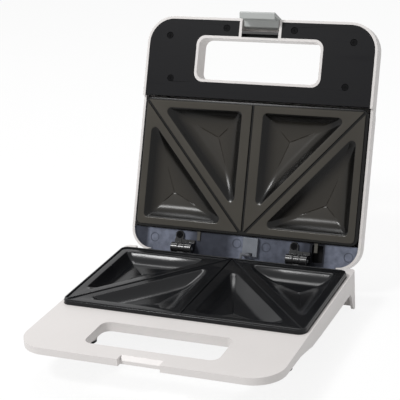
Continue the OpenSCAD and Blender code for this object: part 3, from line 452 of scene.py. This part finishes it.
def softened(node, width):
    """Copy of a solid part with bevelled sharp edges, at most as wide as given, in millimetres."""
    mesh = frame["nodes"][node].data.copy()
    mesh.materials.clear()
    for layer in list(mesh.attributes):
        if layer.name == "custom_normal":
            mesh.attributes.remove(layer)
    bm = bmesh.new()
    bm.from_mesh(mesh)
    bmesh.ops.remove_doubles(bm, verts=bm.verts, dist=SOLID_WELD)
    bmesh.ops.dissolve_limit(bm, angle_limit=math.radians(FLAT_ANGLE), verts=bm.verts, edges=bm.edges)
    bmesh.ops.triangulate(bm, faces=[face for face in bm.faces if len(face.verts) > 4])
    bmesh.ops.recalc_face_normals(bm, faces=bm.faces)
    bm.to_mesh(mesh)
    bm.free()
    obj = finish_mesh(node + "_skin", mesh, ROUNDED_ANGLE)
    bevel = obj.modifiers.new("round edges", "BEVEL")
    bevel.width = width / 1000
    bevel.segments = 2
    bevel.limit_method = "ANGLE"
    bevel.angle_limit = math.radians(ROUNDED_ANGLE)
    bevel.use_clamp_overlap = True
    bevel.harden_normals = False
    bevel.miter_outer = "MITER_ARC"
    obj.modifiers.new("even shading", "WEIGHTED_NORMAL").keep_sharp = True
    return obj


# Body that each moulding or bent part rides on, and the width of its rounded edges
ROUND = {
    "base_casing": ("base", 0.7), "base_cover": ("base", 0.5), "lid_shell": ("lid", 0.7),
    "lid_panel": ("lid", 0.35), "lid_liner": ("lid", 0.3), "latch": ("latch", 0.5),
    "wire_guide": ("lid", 0.3), "hinge_leaves": ("lid", 0.3), "hinge_arms": ("base", 0.3),
}
soft_copies = {node: softened(node, width) for node, (body, width) in ROUND.items()}
print("softened:", {node: len(obj.data.polygons) for node, obj in soft_copies.items()})

# %% [markdown]
# ## Shader helpers
# A material is a chain of small nodes. These helpers make one node each and link it up, so that the
# finishes further down read as a list of steps.

# %% Shader helpers
def feed(tree, socket, value):
    """Gives a socket its value: a link where the value is another node's output, else a plain value."""
    if isinstance(value, bpy.types.NodeSocket):
        tree.links.new(value, socket)
    else:
        socket.default_value = value


def maths(tree, operation, *values):
    """Result of a Math node: the operation on one to three values."""
    node = tree.nodes.new("ShaderNodeMath")
    node.operation = operation
    for socket, value in zip(node.inputs, values):
        feed(tree, socket, value)
    return node.outputs[0]


def vector_maths(tree, operation, *values):
    """Result of a Vector Math node: a number for a distance, and a vector otherwise."""
    node = tree.nodes.new("ShaderNodeVectorMath")
    node.operation = operation
    for socket, value in zip(node.inputs, values):
        feed(tree, socket, value)
    return node.outputs["Value" if operation == "DISTANCE" else "Vector"]


def mapped(tree, value, low, high, to_low, to_high):
    """Value stretched from one range to another and held inside it."""
    node = tree.nodes.new("ShaderNodeMapRange")
    feed(tree, node.inputs["Value"], value)
    for label, given in (("From Min", low), ("From Max", high), ("To Min", to_low), ("To Max", to_high)):
        feed(tree, node.inputs[label], given)
    return node.outputs["Result"]


def mixed(tree, kind, share, first, second):
    """Mix of two numbers or colours: only the first at a share of zero, only the second at one."""
    node = tree.nodes.new("ShaderNodeMix")
    node.data_type = kind
    for label, value in (("Factor", share), ("A", first), ("B", second)):
        feed(tree, node.inputs[label], value)
    return node.outputs["Result"]


def object_coordinates(tree):
    """Coordinates of the object in metres, which stay on it in every pose."""
    return tree.nodes.new("ShaderNodeTexCoord").outputs["Object"]


def noise(tree, coords, scale, detail, roughness=0.5):
    """Noise over coordinates in metres, from zero to one."""
    node = tree.nodes.new("ShaderNodeTexNoise")
    for label, value in (("Vector", coords), ("Scale", scale), ("Detail", detail), ("Roughness", roughness)):
        feed(tree, node.inputs[label], value)
    return node.outputs["Fac"]


def new_group(name, inputs, outputs):
    """Empty node group. Its inputs are numbers or vectors with their first values, its outputs have kinds."""
    group = bpy.data.node_groups.new(name, "ShaderNodeTree")
    for label, value in inputs.items():
        kind = "NodeSocketFloat" if isinstance(value, float) else "NodeSocketVector"
        group.interface.new_socket(label, in_out="INPUT", socket_type=kind).default_value = value
    for label, kind in outputs.items():
        group.interface.new_socket(label, in_out="OUTPUT", socket_type=kind)
    return group, group.nodes.new("NodeGroupInput"), group.nodes.new("NodeGroupOutput")


def group_node(tree, group, **values):
    """Node that uses a group, with its inputs set."""
    node = tree.nodes.new("ShaderNodeGroup")
    node.node_tree = group
    for label, value in values.items():
        node.inputs[label].default_value = value
    return node


# %% [markdown]
# ## Clouds, grain and wiping marks
# Three effects return on every finish: cloudy unevenness, a fine moulded or sprayed grain, and faint
# wiping marks. Each is a node group that is built once and gives out a number or a bumped normal, so
# that a plastic and a casting differ only in the values they put in.

# %% Clouds, grain and wiping marks
def cloud_group():
    """Slow unevenness: soft noise, stretched to run from minus one to one."""
    group, take, give = new_group("clouds", {"Scale": 12.0}, {"Value": "NodeSocketFloat"})
    big = noise(group, object_coordinates(group), take.outputs["Scale"], 3)
    group.links.new(mapped(group, big, 0.3, 0.7, -1.0, 1.0), give.inputs["Value"])
    return group


def grain_group():
    """Fine grain: small noise as a height, turned into a bumped normal of a given strength."""
    group, take, give = new_group("grain", {"Scale": 900.0, "Height": 0.00002},
                                  {"Value": "NodeSocketFloat", "Normal": "NodeSocketVector"})
    fine = noise(group, object_coordinates(group), take.outputs["Scale"], 2, 0.6)
    bump = group.nodes.new("ShaderNodeBump")
    for label, value in (("Strength", 1.0), ("Distance", take.outputs["Height"]), ("Height", fine)):
        feed(group, bump.inputs[label], value)
    group.links.new(fine, give.inputs["Value"])
    group.links.new(bump.outputs["Normal"], give.inputs["Normal"])
    return group


def wipe_group():
    """Faint wiping marks: noise pulled long in one direction, kept only where it is strongest."""
    group, _, give = new_group("wiping", {}, {"Mask": "NodeSocketFloat"})
    stretch = group.nodes.new("ShaderNodeMapping")
    for label, value in (("Vector", object_coordinates(group)), ("Rotation", (0.2, 0.1, 0.6)),
                         ("Scale", (14, 210, 140))):
        feed(group, stretch.inputs[label], value)
    marks = noise(group, stretch.outputs["Vector"], 1.0, 4, 0.65)
    group.links.new(mapped(group, marks, 0.56, 0.75, 0.0, 1.0), give.inputs["Mask"])
    return group


CLOUDS, GRAIN, WIPING = cloud_group(), grain_group(), wipe_group()
print("groups:", [group.name for group in bpy.data.node_groups])

# %% [markdown]
# ## Masks on the closed lid
# Some marks and shadows belong to one place of the lid. They are easiest to place on the closed lid,
# so these two groups turn the coordinates shut about the hinge before they measure. Painting them on
# would need an unwrapped surface, which the solid parts don't have.

# %% Masks on the closed lid
def lid_coordinates(tree):
    """Object coordinates with the lid turned shut about the hinge, in metres."""
    turn = tree.nodes.new("ShaderNodeVectorRotate")
    turn.rotation_type = "X_AXIS"
    for label, value in (("Vector", object_coordinates(tree)), ("Angle", OPEN_ANGLE),
                         ("Center", tuple(on_base([(0, HINGE_Y, HINGE_Z)])[0]))):
        feed(tree, turn.inputs[label], value)
    return turn.outputs["Vector"]


def mark_group():
    """Round mark: one on a thin circle about a centre, fading to zero just inside and outside of it."""
    group, take, give = new_group("round mark", {"Centre": (0, 0, 0), "Radius": 0.004, "Width": 0.0005},
                                  {"Mask": "NodeSocketFloat"})
    away = vector_maths(group, "DISTANCE", lid_coordinates(group), take.outputs["Centre"])
    off = maths(group, "ABSOLUTE", maths(group, "SUBTRACT", away, take.outputs["Radius"]))
    group.links.new(mapped(group, off, 0.0, take.outputs["Width"], 1.0, 0.0), give.inputs["Mask"])
    return group


def box_group():
    """Box: one inside a box about a centre, falling to zero over the softness outside its half sizes."""
    group, take, give = new_group("box", {"Centre": (0, 0, 0), "Half": (0, 0, 0), "Softness": 0.001},
                                  {"Mask": "NodeSocketFloat"})
    off = vector_maths(group, "SUBTRACT", lid_coordinates(group), take.outputs["Centre"])
    size = vector_maths(group, "ABSOLUTE", off)
    parts = group.nodes.new("ShaderNodeSeparateXYZ")
    group.links.new(vector_maths(group, "SUBTRACT", size, take.outputs["Half"]), parts.inputs[0])
    most = maths(group, "MAXIMUM", parts.outputs["X"], parts.outputs["Y"])
    most = maths(group, "MAXIMUM", most, parts.outputs["Z"])
    group.links.new(mapped(group, most, 0.0, take.outputs["Softness"], 1.0, 0.0), give.inputs["Mask"])
    return group


MARK, BOX = mark_group(), box_group()
print("groups:", [group.name for group in bpy.data.node_groups])

# %% [markdown]
# ## Finishes
# Every finish is a base colour that drifts a little with the clouds and the grain, a roughness that
# drifts with the clouds and the wiping marks, and a grain in the normal. What is the same all over,
# such as the coat, is set on the shader itself. The numbers tell plastic from casting.

# %% Finishes
# How far the clouds and the grain move the colour, and the clouds the roughness, and a coat's roughness
CLOUD_DRIFT, GRAIN_DRIFT, ROUGH_DRIFT, COAT_ROUGH = 0.35, 0.5, 0.04, 0.15


def linear(hex_colour):
    """Scene-linear colour of a screen colour, by the standard curve."""
    c = np.array([int(hex_colour[i:i + 2], 16) / 255 for i in (1, 3, 5)])
    return tuple(np.where(c <= 0.04045, c / 12.92, ((c + 0.055) / 1.055) ** 2.4)) + (1.0,)


def finish(name, colour, drift, rough, cloud=14.0, grain=900.0, height=0.00001, metal=0.0, coat=0.0,
           wiping=0.06, specular=0.5, sheen=0.0, transmission=0.0):
    """Material whose colour and roughness drift with the shared groups.

    The share of colour against drift is a half, plus the clouds and the grain, each times its own
    constant. The roughness is rough, plus the clouds times theirs, plus the wiping marks times wiping.
    The scales of the clouds and of the grain are per metre, and the grain's height is in metres.
    """
    material = bpy.data.materials.new(name)
    material.use_nodes = True
    tree = material.node_tree
    shader = tree.nodes["Principled BSDF"]
    clouds = group_node(tree, CLOUDS, Scale=cloud).outputs["Value"]
    fine = group_node(tree, GRAIN, Scale=grain, Height=height)
    wipe = group_node(tree, WIPING).outputs["Mask"]
    cloudy = maths(tree, "MULTIPLY_ADD", clouds, CLOUD_DRIFT, 0.5)
    share = maths(tree, "MULTIPLY_ADD", fine.outputs["Value"], GRAIN_DRIFT, cloudy)
    rougher = maths(tree, "MULTIPLY_ADD", clouds, ROUGH_DRIFT, rough)
    for label, value in (("Base Color", mixed(tree, "RGBA", share, linear(drift), linear(colour))),
                         ("Roughness", maths(tree, "MULTIPLY_ADD", wipe, wiping, rougher)),
                         ("Normal", fine.outputs["Normal"]), ("Metallic", metal), ("Coat Weight", coat),
                         ("Coat Roughness", COAT_ROUGH), ("Specular IOR Level", specular),
                         ("Sheen Weight", sheen), ("Transmission Weight", transmission)):
        feed(tree, shader.inputs[label], value)
    return material


FINISH = {
    "shell_white": finish("white plastic", "#dedad8", "#d8d4d2", 0.38, height=0.000006, wiping=0.08,
                          specular=0.35),
    "panel_black": finish("black moulded panel", "#161618", "#101012", 0.46, grain=1500, height=0.00002,
                          wiping=0.1, specular=0.1),
    "coated_plate": finish("plate coating", "#0f1013", "#0a0b0d", 0.18, grain=1300, height=0.000008,
                           wiping=0.02, specular=0.28),
    "liner_grey": finish("blue-grey liner", "#727786", "#444852", 0.4, cloud=160, metal=0.2, wiping=0.15,
                         grain=1800, height=0.00004, specular=0.15),
    "guide_grey": finish("wire guide", "#6c7077", "#565a62", 0.4, cloud=60, metal=0.2),
    "latch_grey": finish("grey latch", "#b6b9b7", "#abaeac", 0.45, grain=1200),
    "black_metal": finish("black paint", "#121214", "#0c0c0e", 0.22, grain=700, height=0.000001,
                          wiping=0.02),
    "black_screw": finish("blackened screw", "#0d0d0f", "#09090a", 0.3, specular=0.06),
    "zinc_steel": finish("zinc plate", "#bcbfc3", "#9fa3a8", 0.3, metal=1.0),
    "foot_rubber": finish("black rubber", "#1d1d1e", "#151516", 0.75, grain=1400, height=0.00004),
    "heater_sheath": finish("heater tube", "#6f6b66", "#57534f", 0.42, metal=1.0),
    "reflector_sheet": finish("bright sheet", "#c9cbcd", "#b5b8bb", 0.25, metal=1.0),
    "thermostat_ceramic": finish("bare ceramic", "#cfc8b8", "#bdb5a4", 0.7),
    "block_ceramic": finish("glazed ceramic", "#efeadb", "#e2dccb", 0.2, coat=0.6),
    "black_plastic": finish("black plastic", "#29292b", "#202022", 0.5),
    "wire_sleeve": finish("woven sleeve", "#5c5e64", "#45474c", 0.85, grain=2600, height=0.0001, sheen=0.1),
    "lens_red": finish("red lens", "#c8281e", "#a51d15", 0.12, coat=0.6, transmission=0.3),
    "lens_green": finish("green lens", "#2e9a48", "#237a38", 0.12, coat=0.6, transmission=0.3),
    "lamp_glass": finish("lamp glass", "#e8c9a8", "#dcb892", 0.06, transmission=0.6),
}
# Painted light: the upper plate faces the light more squarely, so its coating is a warmer, lighter copy
LIT_LID_COATING = finish("plate coating, lid, painted light", "#413e38", "#37342f", 0.23, grain=1300, height=0.000008,
                     wiping=0.02, specular=0.22)
# The brackets at the lid plate's rear edge are bare steel, a little lighter than the painted hinges
BRACKET_STEEL = finish("bracket steel", "#4c4a45", "#3d3b37", 0.5, metal=0.3, specular=0.3)
print("finishes:", len(FINISH), "and", LIT_LID_COATING.name, "and", BRACKET_STEEL.name)

# %% [markdown]
# ## Painted shade and pin marks
# Some colours here paint shade. Below its land the lid plate is painted black as shade, in the grooves
# and on the walls of the pockets, and the pockets are painted as light as the land again towards their
# middle. The liner shows the round marks of its moulding pins, and painted shade darkens it at its left
# end and around the hinges. The slot behind the latch is painted black inside as shade, and the gaps
# between the hinge's knuckles get painted shade and a rougher surface.

# %% Painted shade and pin marks
# Closed-lid height of the liner's face
LINER_Z = 5.0
# Middle of a hinge, and from there the joints between its middle knuckle and the outer ones
HINGE_X, JOINT_AT = 58.8, 3.28
# Centres of the moulding pins' marks, their radius and the width of their line
PIN_MARKS, PIN_R, PIN_LINE = ((-92, 10), (-5.5, 8.2), (24.5, 9), (106, 10.6)), 4.2, 0.7
# Painted shade on the liner, at its left end and around the hinges: middle, half width, softness, strength
LINER_SHADE = ((-109, 8, 4, 0.85), (-31, 15, 14, 0.85), (36, 8, 26, 0.5), (71, 8, 9, 0.85))
# What the liner's painted shade spans in depth and height, and half the width of the painted shade in a
# joint between knuckles
LINER_SHADE_LOW, LINER_SHADE_HIGH, JOINT_HALF = (-6, 0), (30, 12), 0.3
# Corners of the painted shade in the liner's pocket beside the right hinge and in the slot behind the latch
HINGE_POCKET_SHADE = (68, 1, LINER_Z + 0.1), (82.5, 22, 22)
LATCH_SLOT_SHADE = (-18.6, -196.3, 0), (18.6, -190.6, 11)
# Painted shade below the lid's land: depth where a darker layer begins, its softness and its colour. The
# second layer paints the pockets lighter again towards their middle
SHADE_BELOW_LAND = ((0.4, 0.25, "#050505"), (POCKET_DEPTH - 0.3, 5.4, "#36332e"))
# Closed-lid height that is above both pockets and plate
ABOVE_POCKETS = CLOSE_GAP + 16


def tinted(material, mask, colour, amount, rough=None):
    """Mixes a colour, and a roughness if given, into a finish where a mask is one, by a share."""
    tree = material.node_tree
    share = mapped(tree, mask, 0.0, 1.0, 0.0, amount)
    changes = [("Base Color", "RGBA", linear(colour))]
    if rough is not None:
        changes.append(("Roughness", "FLOAT", rough))
    for label, kind, value in changes:
        socket = tree.nodes["Principled BSDF"].inputs[label]
        tree.links.new(mixed(tree, kind, share, socket.links[0].from_socket, value), socket)


def boxed(material, low, high, softness, colour, amount, rough=None):
    """Tints a finish inside a box between two corners in closed-lid millimetres."""
    low, high = np.asarray(low, float), np.asarray(high, float)
    box = group_node(material.node_tree, BOX, Centre=tuple(on_base([(low + high) / 2])[0]),
                     Half=tuple((high - low) / 2000), Softness=softness / 1000)
    tinted(material, box.outputs["Mask"], colour, amount, rough)


# Painted shade: the lid plate black below its land, and lighter again towards the pockets' middle
for depth, softness, colour in SHADE_BELOW_LAND:
    boxed(LIT_LID_COATING, (-HALF, -PLATE_D, CLOSE_GAP + depth), (HALF, 0, ABOVE_POCKETS), softness, colour, 0.96)
liner = FINISH["liner_grey"]
for x, y in PIN_MARKS:
    mark = group_node(liner.node_tree, MARK, Centre=tuple(on_base([(x, y, LINER_Z)])[0]),
                      Radius=PIN_R / 1000, Width=PIN_LINE / 1000)
    tinted(liner, mark.outputs["Mask"], "#2b2e36", 0.75)
# Painted shade on the liner, at its left end and around the hinges
for x, half, softness, amount in LINER_SHADE:
    boxed(liner, (x - half, *LINER_SHADE_LOW), (x + half, *LINER_SHADE_HIGH), softness, "#1f2129", amount)
# Painted shade: the liner's pocket beside the right hinge nearly black, and rougher
boxed(liner, *HINGE_POCKET_SHADE, 0.5, "#08080a", 0.95, 0.7)
# Painted shade: the slot behind the latch black inside
boxed(FINISH["shell_white"], *LATCH_SLOT_SHADE, 0.3, "#0c0c0e", 0.97)
# Painted shade in the gaps between the hinge's knuckles, which are also made rougher there
for x in (-HINGE_X, HINGE_X):
    for side in (-1, 1):
        low, high = x + side * JOINT_AT - JOINT_HALF, x + side * JOINT_AT + JOINT_HALF
        boxed(FINISH["black_metal"], (low, 0, -12), (high, 30, 12), 0.3, "#020202", 0.95, 0.9)
print("nodes in the liner's finish:", len(liner.node_tree.nodes))

# %% [markdown]
# ## Finishes on the parts
# The record names a finish for each part. A part whose solid shape is good enough keeps it and only
# gets its material. A skin stands for its part, rides on the same body and takes the same finish.

# %% Finishes on the parts
def show(obj, body, node, material):
    """Puts a skin in the place of its solid part, with that part's finish."""
    obj.data.materials.append(material)
    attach(obj, body)
    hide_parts(node)


slots = {p["node"]: p["material_slot"] for p in frame["record"]["subparts"]}
for node, obj in frame["nodes"].items():
    obj.data.materials.clear()
    obj.data.materials.append(FINISH[slots[node]])
frame["nodes"]["plate_brackets"].data.materials[0] = BRACKET_STEEL

show(base_plate, "base", "base_plate", FINISH["coated_plate"])
# The lid plate takes the lighter copy of the coating, as painted light
show(lid_plate, "lid", "lid_plate", LIT_LID_COATING)
for node, (body, width) in ROUND.items():
    show(soft_copies[node], body, node, FINISH[slots[node]])
print("parts:", len(slots), "skins:", 2 + len(ROUND))

# %% [markdown]
# ## Tray behind the liner's pocket
# The liner has an open pocket beside the right hinge that looks black inside. A small black tray
# closes it from behind: a dark sheet that stands in for the pocket's shade, as painted shade. A darker
# colour on the shell behind it would do from the front alone, but a tray gives the pocket real walls.

# %% Tray behind the liner's pocket
# Corners of the tray's inside, how far its mouth lies behind the liner's face, its depth, its wall
# and the radius of its corners
TRAY_LOW, TRAY_HIGH = (69.9, 2.0), (81.3, 18.9)
TRAY_MOUTH, TRAY_DEPTH, TRAY_T, TRAY_R = 2.1, 8.0, 0.8, 1.5


def tray_skin():
    """Open tray: a rounded rectangle carried from the floor to the mouth, over the wall and back outside."""
    inside, outside = (rectangle(TRAY_LOW, TRAY_HIGH, -wall) for wall in (0.0, TRAY_T))
    mouth = LINER_Z + TRAY_MOUTH
    rings = [rounded(corners, [radius] * 4, 6, z) for corners, radius, z in (
        (inside, TRAY_R, mouth + TRAY_DEPTH), (inside, TRAY_R, mouth), (outside, TRAY_R + TRAY_T, mouth),
        (outside, TRAY_R + TRAY_T, mouth + TRAY_DEPTH + TRAY_T))]
    skin = Skin()
    skin.rings(rings)
    skin.fill(rings[0], [])
    skin.fill(rings[-1], [])
    return skin.build("liner_pocket_shade_tray", on_lid)


pocket_shade_tray = tray_skin()
# Black as painted shade for the pocket behind the liner
pocket_shade_tray.data.materials.append(FINISH["panel_black"])
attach(pocket_shade_tray, "lid")
print("tray faces:", len(pocket_shade_tray.data.polygons))

# %% [markdown]
# ## Floor
# The photograph is a plain cut-out view on white. The floor is a pale sheet that keeps the object's
# soft shadow. To the camera and to reflections it mostly shines white by itself, so that it runs out
# into the white background without more light on the object.

# %% Floor
# How much of the floor shines by itself where the camera sees it, and how strongly
SHINE_SHARE, SHINE_STRENGTH = 0.85, 1.02


def background_share(tree):
    """One for rays from the camera, from a glossy surface or through glass, and zero otherwise."""
    path = tree.nodes.new("ShaderNodeLightPath")
    total = path.outputs["Is Camera Ray"]
    for label in ("Is Glossy Ray", "Is Transmission Ray"):
        total = maths(tree, "ADD", total, path.outputs[label])
        total.node.use_clamp = True
    return total


def stage_floor():
    """Pale sheet just under the object."""
    bpy.ops.mesh.primitive_plane_add(size=12, location=(0, 0, -0.0002))
    floor = bpy.context.object
    floor.name = "floor"
    material = finish("pale floor", "#f6f6f6", "#f4f4f4", 0.9, wiping=0.0, height=0.0, specular=0.0)
    tree = material.node_tree
    white = tree.nodes.new("ShaderNodeEmission")
    white.inputs["Strength"].default_value = SHINE_STRENGTH
    mix = tree.nodes.new("ShaderNodeMixShader")
    share = maths(tree, "MULTIPLY", background_share(tree), SHINE_SHARE)
    for socket, value in zip(mix.inputs, (share, tree.nodes["Principled BSDF"].outputs["BSDF"],
                                          white.outputs[0])):
        tree.links.new(value, socket)
    tree.links.new(mix.outputs[0], tree.nodes["Material Output"].inputs["Surface"])
    floor.data.materials.append(material)


stage_floor()
print("floor nodes:", len(bpy.data.materials["pale floor"].node_tree.nodes))

# %% [markdown]
# ## Light
# Two large soft lamps light the toaster: one from the front and the left, which lights the lid's
# inner face, and a weaker one from above and behind. Small lamps would throw sharp shadows, which the
# photograph doesn't show. The room adds an even light from all sides.

# %% Light
# Strength of the room's light on the object. To the camera it is one, which is white.
ROOM_LIGHT = 0.4


def softbox(name, place, target, size, power):
    """Rectangular lamp at a place in metres that faces its target, with its power in watts."""
    data = bpy.data.lights.new(name, "AREA")
    data.shape = "RECTANGLE"
    data.size, data.size_y = size
    data.energy = power
    lamp = bpy.data.objects.new(name, data)
    lamp.location = place
    lamp.rotation_euler = (Vector(target) - Vector(place)).to_track_quat("-Z", "Y").to_euler()
    bpy.context.scene.collection.objects.link(lamp)


softbox("key", place=(-0.72, -1.00, 1.50), target=(0, 0, 0.08), size=(0.42, 0.36), power=19.5)
softbox("top", place=(-0.45, 0.60, 1.65), target=(0, 0, 0.05), size=(0.8, 0.5), power=8)

world = bpy.data.worlds.new("white room")
world.use_nodes = True
bpy.context.scene.world = world
room = world.node_tree
background = room.nodes["Background"]
background.inputs["Color"].default_value = (1, 1, 1, 1)
feed(room, background.inputs["Strength"], mapped(room, background_share(room), 0.0, 1.0, ROOM_LIGHT, 1.0))
print("lamps:", [light.name for light in bpy.data.lights])

# %% [markdown]
# ## Camera
# The photograph was taken from the front and the right, a little over a metre away, with a long lens.
# A constraint that aims the camera at a target would leave it level, and the picture is turned a
# little. So the camera's three axes are worked out here.

# %% Camera
def camera_at(place, azimuth, elevation, roll, lens):
    """Camera that looks along an azimuth and elevation and is rolled about its view line.

    Its backward axis points up by the elevation and aside by the azimuth. Its right axis is level,
    its up axis stands on both, and the roll then turns these two about the backward one.
    """
    a, e, r = (math.radians(v) for v in (azimuth, elevation, roll))
    behind = np.array([math.sin(a) * math.cos(e), -math.cos(a) * math.cos(e), math.sin(e)])
    right = np.cross(-behind, (0, 0, 1))
    right /= np.linalg.norm(right)
    up = np.cross(right, -behind)
    right, up = math.cos(r) * right + math.sin(r) * up, -math.sin(r) * right + math.cos(r) * up
    data = bpy.data.cameras.new("camera")
    data.lens = lens
    data.sensor_width = 36
    data.clip_end = 30
    camera = bpy.data.objects.new("camera", data)
    camera.matrix_world = Matrix([*np.column_stack([right, up, behind, place]).tolist(), (0, 0, 0, 1)])
    bpy.context.scene.collection.objects.link(camera)
    bpy.context.scene.camera = camera


camera_at((0.42175, -0.99024, 0.51584), azimuth=23.54, elevation=20.35, roll=-3.35, lens=115.6)
bpy.context.scene.view_settings.view_transform = "Standard"
print("camera at:", tuple(bpy.context.scene.camera.matrix_world.translation))
